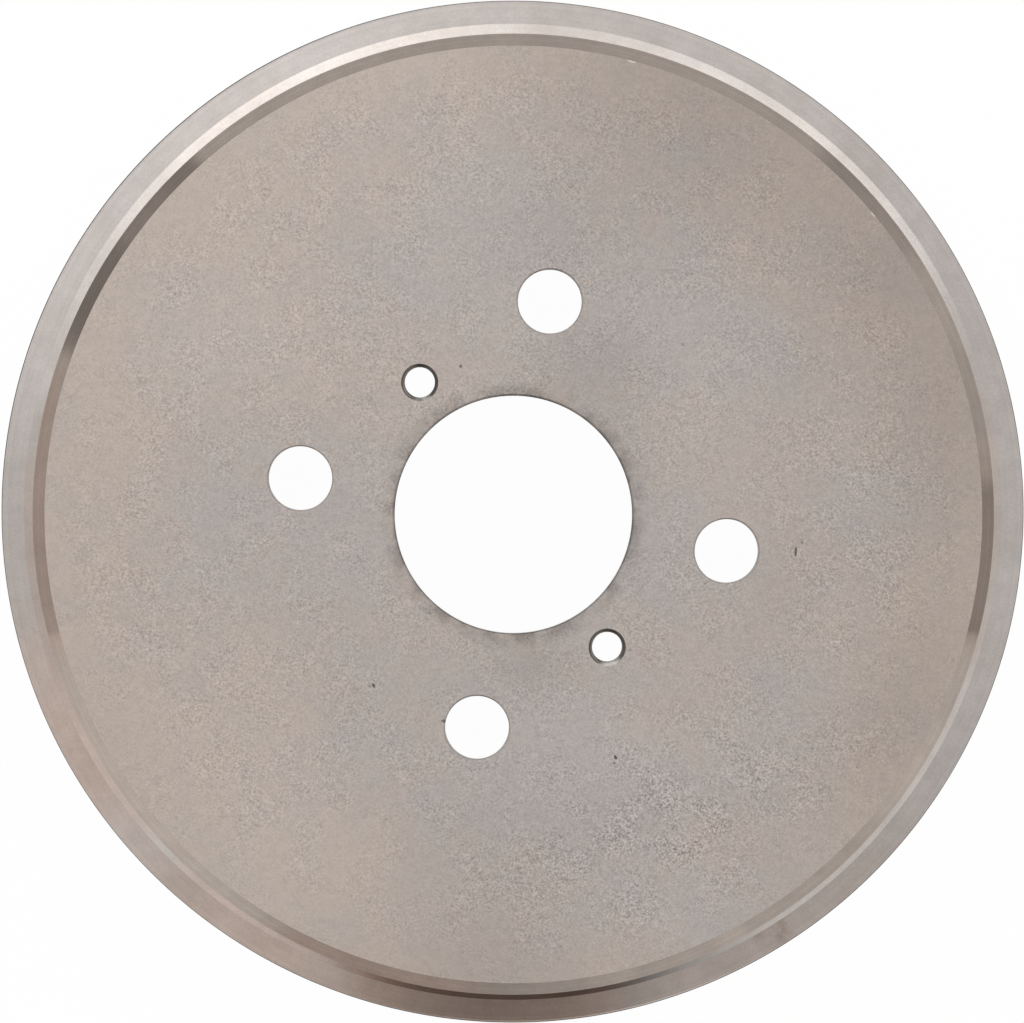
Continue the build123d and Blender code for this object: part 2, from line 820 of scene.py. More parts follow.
@dataclass(frozen=True)
class Patch:
    """A soft-edged place on the surface.

    Args:
        place: Right, up and height of its centre, in mm.
        size: How far it reaches along each of its own axes, in mm.
        strength: How much it does there. A negative one does the opposite.
        turn: Angle from the picture's right to its first axis, in degrees.
        sharpness: Share of its reach over which it fades: 1 is softest.
    """

    place: Triple
    size: Triple
    strength: float
    turn: float = 0.0
    sharpness: float = 1.0


@dataclass(frozen=True)
class Wedge:
    """A sector of the drum.

    Args:
        bearing: Of its middle, counter-clockwise from the picture's right, in degrees.
        half: Half its width, in degrees.
        edge: Width over which it fades, in degrees.
        strength: How much it does there. A negative one does the opposite.
    """

    bearing: float
    half: float
    edge: float
    strength: float


def wedges(*rows: tuple[float, float, float, float]) -> tuple[Wedge, ...]:
    """Give sectors, each from its bearing, half width, edge and strength."""
    return tuple(Wedge(*row) for row in rows)


class Recipe(Wiring):
    """The node tree of one metal finish, built up from small named steps."""

    DARKEST = 0.05  # share of a tone that the darkest place keeps
    CIRCLE = 0.1  # metres, radius of the circle that bearings are given on
    ACROSS = 0.25  # of a turn, from along the turning marks to across them
    DOT_CORE = 0.4  # share of a dot's radius that is wholly dark
    BLEND_INPUTS, BLEND_RESULT = (0, 6, 7), 2  # a Mix node's sockets for colours
    PLAIN = "Value"  # a Vector Math node's output for a plain value

    def __init__(self, name: str, roughness: float, anisotropy: float = 0.0) -> None:
        """Start a bare-metal material.

        Args:
            name: The material's name.
            roughness: Its roughness.
            anisotropy: How far turning marks round the axis stretch its shine.
        """
        super().__init__(bpy.data.materials.new(name))
        self.shader = self.tree.nodes["Principled BSDF"]
        self.place = self.add("TexCoord", {}, "Object")
        metal = {"Metallic": 1.0, "Roughness": roughness, "Anisotropic": anisotropy}
        if anisotropy:
            metal["Anisotropic Rotation"] = self.ACROSS
            metal["Tangent"] = self.add("Tangent", {}, direction_type="RADIAL", axis="Z")
        self.fill(self.shader, metal)

    def vector(
        self, operation: str, *values: NodeSocket | Triple, output: int | str = 0
    ) -> NodeSocket:
        """Work out one operation on vectors."""
        return self.add("VectorMath", dict(enumerate(values)), output, operation=operation)

    def ramp(
        self, value: Value, low: float, high: float, start: float = 0.0, end: float = 1.0
    ) -> NodeSocket:
        """Turn a value between low and high smoothly into one between start and end."""
        ends = {"From Min": low, "From Max": high, "To Min": start, "To Max": end}
        return self.add("MapRange", {"Value": value, **ends}, interpolation_type="SMOOTHSTEP")

    def texture(self, kind: str, size: float, inputs: Inputs, **settings: str) -> Node:
        """Add a texture whose lumps or cells have one size, in mm."""
        return self.node(f"Tex{kind}", {"Scale": 1 / (size * MM), **inputs}, **settings)

    def noise(self, grain: float, detail: float, at: NodeSocket | None = None) -> NodeSocket:
        """Give a noise from 0 to 1, read on the surface itself or at another place."""
        inputs = {"Detail": detail, "Vector": at or self.place}
        return self.texture("Noise", grain, inputs).outputs["Fac"]

    def rings(self, grain: float, detail: float) -> NodeSocket:
        """Give a noise that is the same all round the axis, as turning marks are."""
        inputs = {"Detail": detail, "W": self.maths("SUBTRACT", self.radius(), self.height())}
        return self.texture("Noise", grain, inputs, noise_dimensions="1D").outputs["Fac"]

    def cloud(self, cloud: Cloud, noise: NodeSocket | None = None) -> NodeSocket:
        """Give a cloud, of its own noise or of one that is there already."""
        source = noise or self.noise(cloud.grain, cloud.detail)
        return self.ramp(source, *cloud.levels, *cloud.values)

    def flat(self) -> NodeSocket:
        """Give the place with its height left out."""
        return self.vector("MULTIPLY", self.place, (1, 1, 0))

    def radius(self) -> NodeSocket:
        """Give the distance from the axis, in metres."""
        return self.vector("LENGTH", self.flat(), output=self.PLAIN)

    def height(self) -> NodeSocket:
        """Give the height above the lip's plane, in metres."""
        return self.add("SeparateXYZ", {0: self.place}, "Z")

    def bearing(self) -> NodeSocket:
        """Give the direction from the axis as a point on a circle."""
        return self.shade(self.vector("NORMALIZE", self.flat()), self.CIRCLE)

    def framed(self) -> NodeSocket:
        """Give the place as right, up and height, in metres."""
        inputs = {"Vector": self.place, "Rotation": (0, 0, math.radians(PICTURE.turn))}
        return self.add("Mapping", inputs, vector_type="TEXTURE")

    def spot(self, patch: Patch) -> NodeSocket:
        """Give a soft patch.

        Args:
            patch: Its place, size and strength.

        Returns:
            Its strength at its centre, and 0 at its edge and beyond.
        """
        centre = Vector(patch.place) * MM
        place = self.framed()
        if patch.turn:
            inputs = {"Vector": place, "Center": centre, "Angle": -math.radians(patch.turn)}
            place = self.add("VectorRotate", inputs, rotation_type="Z_AXIS")
        scale = [1 / (side * MM) for side in patch.size]
        offset = [-side * factor for side, factor in zip(centre, scale)]
        local = self.vector("MULTIPLY_ADD", place, scale, offset)
        reach = self.vector("LENGTH", local, output=self.PLAIN)
        return self.ramp(reach, 1.0, 1.0 - patch.sharpness, 0.0, patch.strength)

    def wedge(self, wedge: Wedge) -> NodeSocket:
        """Give a sector of the drum.

        Args:
            wedge: Its bearing, width and strength.

        Returns:
            Its strength inside, and 0 outside.
        """
        toward = PICTURE.toward(wedge.bearing, 0.0) / self.CIRCLE
        dot = self.vector("DOT_PRODUCT", self.bearing(), toward, output=self.PLAIN)
        outside = math.cos(math.radians(wedge.half + wedge.edge / 2))
        inside = math.cos(math.radians(max(wedge.half - wedge.edge / 2, 0.0)))
        return self.ramp(dot, outside, inside, 0.0, wedge.strength)

    def cells(self, size: float) -> tuple[NodeSocket, NodeSocket]:
        """Split a level face into cells: how far each one's point is, and its own value."""
        inputs = {"Vector": self.place}
        cells = self.texture("Voronoi", size, inputs, voronoi_dimensions="2D").outputs
        return cells["Distance"], self.add("SeparateColor", {0: cells["Color"]})

    def dots(self, spacing: float, radius: float, share: float) -> NodeSocket:
        """Scatter small round dots over a level face.

        Args:
            spacing: Between the places where a dot may be, in mm.
            radius: Of a dot, in mm.
            share: How many of the places have one.

        Returns:
            1 in a dot and 0 elsewhere.
        """
        distance, value = self.cells(spacing)
        reach = radius / spacing
        dot = self.ramp(distance, reach * self.DOT_CORE, reach, 1.0, 0.0)
        return self.maths("MULTIPLY", dot, self.maths("LESS_THAN", value, share))

    def chain(self, operation: str, first: Value, others: Iterable[NodeSocket]) -> NodeSocket:
        """Work out one operation on a first value and each of the others in turn."""
        return reduce(partial(self.maths, operation), others, first)

    def darken(self, tone: NodeSocket, amounts: Iterable[NodeSocket]) -> NodeSocket:
        """Darken a tone by the sum of amounts from 0, which leaves it, to 1, which is black."""
        left = self.chain("SUBTRACT", 1.0, amounts)
        return self.shade(tone, self.maths("MAXIMUM", left, self.DARKEST))

    def blend(self, amount: Value, *tones: NodeSocket | Tone) -> NodeSocket:
        """Mix two tones: the first at 0, the second at 1."""
        full = [tone if isinstance(tone, NodeSocket) else (*tone, 1.0) for tone in tones]
        inputs = dict(zip(self.BLEND_INPUTS, (amount, *full)))
        return self.add("Mix", inputs, self.BLEND_RESULT, data_type="RGBA")

    def shade(self, tone: NodeSocket, factor: Value) -> NodeSocket:
        """Brighten or darken a tone, or stretch a vector, by a factor."""
        return self.add("VectorMath", {0: tone, "Scale": factor}, operation="SCALE")

    def finish(self, tone: NodeSocket, relief: NodeSocket, depth: float) -> Material:
        """Wire the tone and the relief to the shader.

        Args:
            tone: The metal's tone.
            relief: Height of the surface, from 0 to 1.
            depth: How high 1 is, in mm.

        Returns:
            The finished material.
        """
        bump = {"Strength": 1.0, "Distance": depth * MM, "Height": relief}
        self.fill(self.shader, {"Base Color": tone, "Normal": self.add("Bump", bump)})
        return self.owner


# -------------------- finishes


@dataclass(frozen=True)
class BlastedFace:
    """Shot-blasted iron: matt, warm grey, finely speckled and unevenly tinted.

    Args:
        warm: The beige tone, towards the edge.
        cool: The purple-grey tone, towards the middle.
        bore_radius: Radius of the centre bore, in mm.
        warm_radius: Where the tint is half-way between the two, in mm.
        tints: Places that are cooler, or warmer where the strength is negative.
        shades: Painted shade, and painted light where the strength is negative.
        rough: Places where the grain is stronger, or fainter where the strength is negative.
        pits: Small dark marks.
        grain: Size and layers of the fine grain.
        grain_share: How strong the fine grain is.
        fleck: Size of a single bright or dark fleck, in mm.
        fleck_share: How strong the flecks are.
        speck: Spacing, radius and share of the dark specks.
        speck_depth: How dark they are.
        coarse: The coarse grain.
        clusters: How the grain's strength varies.
        calm: Radii, in mm, between which the grain fades, and its strength at both.
        clouds: Wide clouds of tint.
        mottle: Small clouds of tint.
        drift: Shares of warm_radius between which the tint turns, and how cool it is at both.
        halo: Width and depth of the dark place round the centre bore.
        halo_break: How unevenly the halo lies.
        lip: Start, width and depth of the dark line at the bore's edge.
        relief: Height of the grain, in mm.
    """

    warm: Tone
    cool: Tone
    bore_radius: float
    warm_radius: float
    tints: tuple[Patch, ...]
    shades: tuple[Patch, ...]
    rough: tuple[Patch, ...]
    pits: tuple[Patch, ...]
    grain: Pair = (0.47, 3)
    grain_share: float = 0.7
    fleck: float = 0.36
    fleck_share: float = 0.13
    speck: Triple = (1.1, 0.27, 0.3)
    speck_depth: float = 0.13
    coarse: Cloud = Cloud(1.6, 1, (0.25, 0.75), (0.98, 1.04))
    clusters: Cloud = Cloud(9, 2, (0.36, 0.64), (0.55, 1.4))
    calm: tuple[Pair, Pair] = ((94, 106), (1.0, 0.55))
    clouds: Cloud = Cloud(42, 2, (0.35, 0.65), (-0.28, 0.28))
    mottle: Cloud = Cloud(6, 1, (0.3, 0.7), (-0.15, 0.15))
    drift: tuple[Pair, Pair] = ((0.6, 1.25), (0.85, 0.15))
    halo: Pair = (4.5, 0.33)
    halo_break: Cloud = Cloud(4.5, 3, (0.36, 0.62), (0.2, 1.0))
    lip: Triple = (0.02, 0.22, 0.6)
    relief: float = 0.035

    def material(self) -> Material:
        """Build the material.

        Returns:
            The material.
        """
        recipe = Recipe("blasted_iron", roughness=0.55)
        fine = recipe.noise(*self.grain)
        places = self.places(recipe)
        tone = recipe.blend(self.tint(recipe), self.warm, self.cool)
        tone = recipe.shade(tone, self.speckle(recipe, fine, places))
        tone = recipe.darken(tone, self.dark_places(recipe, places))
        return recipe.finish(tone, fine, self.relief)

    @staticmethod
    def across(recipe: Recipe, radii: Pair, values: Pair, unit: float = 1.0) -> NodeSocket:
        """Give what turns from one value to another between two radii, in units of some mm."""
        ends = [radius * unit * MM for radius in radii]
        return recipe.ramp(recipe.radius(), *ends, *values)

    def places(self, recipe: Recipe) -> NodeSocket:
        """Give how strong the grain is from place to place, where 1 is usual."""
        inner = self.across(recipe, *self.calm)
        usual = recipe.chain("ADD", inner, map(recipe.spot, self.rough))
        return recipe.maths("MULTIPLY", recipe.cloud(self.clusters), usual)

    def tint(self, recipe: Recipe) -> NodeSocket:
        """Give how cool the tone is: 0 for warm, 1 for cool."""
        middle = self.across(recipe, *self.drift, unit=self.warm_radius)
        clouds = (recipe.cloud(self.clouds), recipe.cloud(self.mottle))
        return recipe.chain("ADD", middle, (*clouds, *map(recipe.spot, self.tints)))

    def speckle(self, recipe: Recipe, fine: NodeSocket, places: NodeSocket) -> NodeSocket:
        """Give the factor of the fine speckle.

        Args:
            recipe: The material's recipe.
            fine: The fine grain.
            places: How strong it is from place to place.

        Returns:
            The factor.
        """
        _, value = recipe.cells(self.fleck)
        flecks = recipe.maths("MULTIPLY", value, self.fleck_share)
        grain = recipe.maths("ADD", recipe.maths("MULTIPLY", fine, self.grain_share), flecks)
        middle = (self.grain_share + self.fleck_share) / 2
        grain = recipe.maths("MULTIPLY", recipe.maths("SUBTRACT", grain, middle), places)
        return recipe.maths("ADD", grain, recipe.cloud(self.coarse))

    def dark_places(self, recipe: Recipe, places: NodeSocket) -> list[NodeSocket]:
        """Give what darkens the face: the bore's halo and edge, specks, painted shade, and pits.

        Args:
            recipe: The material's recipe.
            places: How strong the specks are from place to place.

        Returns:
            How much each of them darkens.
        """
        edge = self.bore_radius
        width, depth = self.halo
        halo = self.across(recipe, (edge, edge + width), (depth, 0.0))
        start, width, depth = self.lip
        lip = self.across(recipe, (edge + start, edge + start + width), (depth, 0.0))
        dots = recipe.maths("MULTIPLY", recipe.dots(*self.speck), self.speck_depth)
        specks = recipe.maths("MULTIPLY", dots, places)
        marks = [recipe.spot(patch) for patch in self.shades + self.pits]
        halo = recipe.maths("MULTIPLY", halo, recipe.cloud(self.halo_break))
        return [halo, lip, specks, *marks]


@dataclass(frozen=True)
class TurnedIron:
    """Fine-turned iron: rings round the axis, with a tint that drifts round the drum.

    Args:
        name: The material's name.
        plain: Its tone.
        other: The tone that it drifts to.
        roughness: How dull it is.
        anisotropy: How far its shine is stretched across the rings.
        feed: Width of one turning mark, in mm.
        depth: Height of the marks, in mm.
        shades: Painted shade in sectors, and painted light where the strength is negative.
        tints: Sectors that have the tint's tone.
        tint_tone: The tint.
        stains_and_highlights: Stain marks, and painted highlights where their tone is bright.
        stain_and_highlight_tone: Their tone.
        drift: How the two tones lie round the drum.
        bands: Wide rings.
        grain: Fine grain.
        mottle: Coarse grain.
        stain_and_highlight_break: How unevenly the stain marks and painted highlights lie.
    """

    name: str
    plain: Tone
    other: Tone
    roughness: float = 0.34
    anisotropy: float = 0.6
    feed: float = 0.22
    depth: float = 0.006
    shades: tuple[Wedge, ...] = ()
    tints: tuple[Wedge, ...] = ()
    # The usual tint tone is the brown of the root band's painted dark reflection
    tint_tone: Tone = (0.44, 0.3, 0.24)
    stains_and_highlights: tuple[Patch, ...] = ()
    stain_and_highlight_tone: Tone = (0.2, 0.13, 0.085)
    drift: Cloud = Cloud(15, 3, (0.35, 0.65))
    bands: Cloud = Cloud(1.4, 2, values=(0.97, 1.03))
    grain: Cloud = Cloud(0.5, 2, values=(0.96, 1.04))
    mottle: Cloud = Cloud(4, 3, values=(0.96, 1.04))
    stain_and_highlight_break: Cloud = Cloud(3.5, 3, (0.36, 0.6), (0.25, 1.0))

    def material(self) -> Material:
        """Build the material.

        Returns:
            The material.
        """
        recipe = Recipe(self.name, self.roughness, self.anisotropy)
        round_axis = recipe.noise(self.drift.grain, self.drift.detail, recipe.bearing())
        tone = recipe.blend(recipe.cloud(self.drift, round_axis), self.plain, self.other)
        for wedge in self.tints:
            tone = recipe.blend(recipe.wedge(wedge), tone, self.tint_tone)
        rings = recipe.rings(self.bands.grain, self.bands.detail)
        tone = recipe.shade(tone, recipe.cloud(self.bands, rings))
        for cloud in (self.grain, self.mottle):
            tone = recipe.shade(tone, recipe.cloud(cloud))
        tone = recipe.darken(tone, map(recipe.wedge, self.shades))
        for patch in self.stains_and_highlights:
            broken = recipe.cloud(self.stain_and_highlight_break)
            amount = recipe.maths("MULTIPLY", recipe.spot(patch), broken)
            tone = recipe.blend(amount, tone, self.stain_and_highlight_tone)
        return recipe.finish(tone, recipe.rings(self.feed, detail=1), self.depth)


@dataclass(frozen=True)
class CastSkin:
    """Unworked grey iron with the grain of its sand mould.

    Args:
        light: Its lighter tone.
        dark: Its darker tone.
        patches: How the two tones lie.
        grain: The sand's grain.
        relief: Height of the grain, in mm.
    """

    light: Tone
    dark: Tone
    patches: Cloud = Cloud(14, 3, (0.35, 0.65))
    grain: Cloud = Cloud(1.2, 4, values=(0.85, 1.12))
    relief: float = 0.35

    def material(self) -> Material:
        """Build the material.

        Returns:
            The material.
        """
        recipe = Recipe("cast_skin", roughness=0.68)
        grain = recipe.noise(self.grain.grain, self.grain.detail)
        tone = recipe.blend(recipe.cloud(self.patches), self.light, self.dark)
        tone = recipe.shade(tone, recipe.cloud(self.grain, grain))
        return recipe.finish(tone, grain, self.relief)


@dataclass(frozen=True)
class FinishSet:
    """The finishes of all the zones.

    Args:
        bore_radius: The centre bore's radius, in mm.
        face_height: Height of the wheel face, in mm.
        flange_radius: Middle of the flange's wheel side, in mm.
        flange_height: Its height, in mm.
    """

    bore_radius: float
    face_height: float
    flange_radius: float
    flange_height: float

    def on_face(self, depth: float, *rows: tuple[float, ...]) -> tuple[Patch, ...]:
        """Give patches on the wheel face.

        Args:
            depth: How far they reach up and down, in mm.
            *rows: For each, its place right and up, its reach along both its axes, its
                strength, and its turn and sharpness where they aren't the usual ones.

        Returns:
            The patches.
        """
        z = self.face_height
        return tuple(Patch((x, y, z), (a, b, depth), *rest) for x, y, a, b, *rest in rows)

    def on_flange(self, depth: float, *rows: tuple[float, ...]) -> tuple[Patch, ...]:
        """Give patches on the flange's wheel side.

        Args:
            depth: How far they reach up and down, in mm.
            *rows: For each, its bearing, its reach round and across the flange, and its
                strength.

        Returns:
            The patches.
        """
        middle = Vector((self.flange_radius, 0, self.flange_height))
        patches = []
        for bearing, along, across, strength in rows:
            place = Matrix.Rotation(math.radians(bearing), 3, "Z") @ middle
            patches.append(Patch(place, (along, across, depth), strength, turn=bearing - 90))
        return tuple(patches)

    def face(self) -> BlastedFace:
        """Give the wheel face's finish: its marks, painted shade and light, and two painted
        glints.

        Returns:
            The finish.
        """
        tints = self.on_face(
            20,
            (11, 42, 26, 20, 0.3), (20, -68, 34, 24, 0.45), (32, -92, 42, 22, 0.8),
            (-9, -40, 18, 14, 0.3), (64, 36, 22, 22, 0.4), (72, 61, 20, 18, 0.4),
            (-38, 90, 34, 18, 0.35), (-52, 60, 30, 26, -0.35), (-48, 40, 42, 24, -0.35),
            (-44, -4, 28, 24, -0.3), (-70, -54, 46, 40, -0.5), (78, -8, 20, 30, 0.15),
            (-95, -10, 20, 60, -0.3),
        )
        # Painted shade and light: darker to the right, top right and round the bore, a painted
        # shadow below it, lighter on the left
        shades = self.on_face(
            40,
            (104, 34, 62, 84, 0.2), (50, 96, 84, 60, 0.22, -27), (92, -46, 26, 46, 0.13, -24),
            (18, 34, 24, 20, 0.11), (25, 12, 14, 20, 0.07), (10, 64, 28, 22, 0.06),
            (86, 56, 24, 20, 0.04), (79, 14, 20, 32, -0.06), (-66, 42, 40, 28, -0.05),
            (-70, -46, 46, 40, -0.035), (14, -54, 54, 24, -0.055), (4, -35, 18, 12, 0.09),
            (-6, -106, 30, 18, 0.06), (36, -92, 36, 22, -0.06), (-54, -80, 50, 44, -0.08),
            (61, -18, 16, 24, 0.045),
        )
        # Painted glints: two small nicks at the face's edge, painted as bright spots for their
        # shine
        glints = self.on_face(
            1,
            (27.3, 104.8, 1.4, 0.45, -0.5, -14, 0.5),
            (83.2, 69.5, 1.1, 0.5, -0.5, -51, 0.5),
        )
        rough = self.on_face(
            40,
            (34, -74, 52, 30, 0.9, 22), (78, -10, 24, 60, 0.25),
            (-36, -82, 30, 22, -0.4), (58, 8, 20, 30, -0.2),
        )
        pits = self.on_face(
            1,
            (65.25, -8.5, 0.34, 1.5, 0.66, -5, 0.5), (66.7, -6.4, 0.4, 0.5, 0.3, 0, 0.3),
            (-32.3, -39.5, 0.4, 0.7, 0.68, 30, 0.5), (-33.3, -39.6, 0.6, 0.35, 0.3, -20, 0.3),
            (-12.2, 34.3, 0.45, 0.5, 0.6, 20, 0.5), (23.6, -56.1, 0.42, 0.72, 0.8, 25, 0.5),
            (23.3, -57.4, 0.45, 0.4, 0.4, 0, 0.4), (39.1, 39.3, 0.45, 0.55, 0.27, 35, 0.4),
            (-16.0, -47.7, 0.9, 0.5, 0.6, -10, 0.5),
        )
        return BlastedFace(
            warm=(0.480, 0.410, 0.364),
            cool=(0.433, 0.394, 0.371),
            bore_radius=self.bore_radius,
            warm_radius=88.0,
            tints=tints,
            shades=shades + glints,
            rough=rough,
            pits=pits,
        )

    def shoulder(self) -> TurnedIron:
        """Give the shoulder's finish: painted shade over the top half, and a few painted dark
        reflections.

        Returns:
            The finish.
        """
        return TurnedIron(
            "turned_shoulder",
            (0.333, 0.283, 0.248),
            (0.314, 0.269, 0.237),
            tints=wedges(
                (-212, 16, 6, 0.3), (-180, 16, 8, 0.8), (-4, 12, 8, 0.45), (-107, 12, 8, 0.9),
            ),
            tint_tone=(0.333, 0.252, 0.21),
            # Painted shade and light: top half darker, bottom lighter, narrow dark sectors as
            # painted reflections
            shades=wedges(
                (-90, 75.5, 1.0, -0.26), (-119, 41, 12, -0.1), (-270, 48, 12, 0.1),
                (-182, 18, 6, 0.05), (-214.2, 14.0, 3, 0.4), (-208.5, 5.5, 4, 0.14),
                (-319, 8, 6, 0.22), (-5.5, 9.5, 4, 0.31), (-19, 5, 6, 0.07),
                (-51, 9, 7, 0.18), (-70, 4, 5, 0.14), (-82, 6, 5, -0.13),
                (-100, 4, 6, -0.13), (-121, 5, 6, 0.08), (-175, 7, 3, 0.06),
                (-350, 8, 8, 0.07),
            ),
        )

    def flange(self) -> TurnedIron:
        """Give the flange's finish, with brown stain marks and painted light and shade round it.

        Returns:
            The finish.
        """
        return TurnedIron(
            "turned_flange",
            (0.464, 0.427, 0.407),
            (0.444, 0.405, 0.38),
            # Painted light and shade: sectors lightened and darkened where the lamps and the dark
            # stand are reflected
            shades=wedges(
                (-42, 15, 14, 0.09), (-74, 6, 10, -0.18), (-98, 4, 8, 0.1),
                (-118, 7, 12, -0.12), (-151, 14, 12, -0.1), (-199, 12, 12, -0.08),
                (-240, 46, 18, -0.12), (-300, 9, 10, -0.07),
            ),
            tints=wedges(
                (-105, 60, 40, 0.3), (-93, 14, 8, 0.68), (-119, 13, 8, 0.33),
                (-154, 10, 8, 0.36),
            ),
            tint_tone=(0.46, 0.335, 0.27),
            stains_and_highlights=self.on_flange(
                8,
                (-59.6, 2.6, 8.0, 0.4), (-57.4, 5.2, 9.0, 0.5), (-51, 9.0, 8.0, 0.07),
                (-121, 10.0, 7.0, 0.16), (-150, 16.0, 9.0, 0.16), (-107, 9.0, 7.0, 0.2),
                (-91, 14.0, 8.0, 0.14),
            ),
        )

    @staticmethod
    def root() -> TurnedIron:
        """Give the finish of the band and fillet by the shell's wall, with painted light and
        shade.

        Returns:
            The finish.
        """
        return TurnedIron(
            "turned_root",
            (0.44, 0.405, 0.38),
            (0.42, 0.38, 0.353),
            roughness=0.3,
            # Painted light and shade: lighter sectors where lamps shine, darker at -78 and -93
            # over the stand's reflection
            shades=wedges(
                (-37, 22, 20, -0.17), (-78, 5, 8, 0.2), (-93, 11, 8, 0.17),
                (-120, 6, 8, -0.15), (-141, 14, 14, -0.2), (-171, 7, 8, 0.06),
                (-200, 6, 8, -0.2), (-218, 6, 8, 0.12),
            ),
            # The full tint at -93 paints the brown dark line of the stand's reflection
            tints=wedges(
                (-176, 9, 10, 0.32), (-2, 16, 12, 0.15), (-93, 16, 8, 1.0),
                (-119, 13, 8, 0.4), (-152, 12, 10, 0.45),
            ),
        )

    def countersink(self) -> TurnedIron:
        """Give the countersinks' finish: a painted dark reflection and a painted highlight low in
        each.

        Returns:
            The finish.
        """
        return TurnedIron(
            "countersunk_iron",
            (0.19, 0.168, 0.15),
            (0.16, 0.142, 0.128),
            roughness=0.3,
            anisotropy=0.3,
            # Painted highlight: the bright place low in each countersink stands in for the key
            # lamp's reflection
            stains_and_highlights=self.on_face(
                4, (22.4, -34.6, 4.4, 2.0, 1.3, 14), (-21.0, 26.6, 3.6, 1.6, 1.0, 10)
            ),
            stain_and_highlight_tone=(0.86, 0.82, 0.78),
        )

    def materials(self) -> dict[Zone, Material]:
        """Build a material for every zone.

        Returns:
            The materials.
        """
        dark, darker = (0.2, 0.18, 0.165), (0.16, 0.145, 0.13)
        # Painted shade: the rim's dark edge line, darkest on the upper left and at the bottom
        rim_shades = wedges((-217, 34, 24, 0.8), (-75, 30, 24, 0.5))
        finishes = {
            Zone.WHEEL_FACE: self.face(),
            Zone.SHOULDER: self.shoulder(),
            Zone.SHELL_WALL: TurnedIron("turned_wall", (0.4, 0.355, 0.32), (0.36, 0.32, 0.29)),
            Zone.ROOT: self.root(),
            Zone.FLANGE: self.flange(),
            Zone.RIM: TurnedIron("turned_rim", dark, darker, 0.4, 0.3, shades=rim_shades),
            Zone.FRICTION_RING: TurnedIron(
                "turned_friction_ring", (0.5, 0.47, 0.445), (0.46, 0.43, 0.405), 0.28, 0.7
            ),
            Zone.CAST_WEB: CastSkin(dark, (0.13, 0.118, 0.11)),
            Zone.HUB_LAND: TurnedIron(
                "turned_hub_land", (0.43, 0.39, 0.36), (0.39, 0.355, 0.325), 0.36, 0.5
            ),
            Zone.HOLES: TurnedIron("drilled_iron", dark, darker, 0.42, 0.3),
            Zone.COUNTERSINK: self.countersink(),
        }
        return {zone: finish.material() for zone, finish in finishes.items()}


# -------------------- studio


@dataclass(frozen=True)
class Softbox:
    """Soft oval lamp that looks at the drum.

    Args:
        name: The lamp's name.
        bearing: Where it hangs, counter-clockwise from the picture's right, in degrees.
        rise: How high it hangs, in degrees.
        distance: From the drum, in metres.
        size: Its width and height, in metres.
        power: In watts.
    """

    name: str
    bearing: float
    rise: float
    distance: float
    size: Pair
    power: float

    def hang(self) -> None:
        """Hang the lamp."""
        place = PICTURE.toward(self.bearing, self.rise) * self.distance
        bpy.ops.object.light_add(type="AREA", location=place)
        lamp = bpy.context.object
        lamp.name = self.name
        lamp.data.shape = "ELLIPSE"
        lamp.data.size, lamp.data.size_y = self.size
        lamp.data.energy = self.power
        lamp.rotation_euler = (-place).to_track_quat("-Z", "Y").to_euler()
        lamp.visible_camera = False


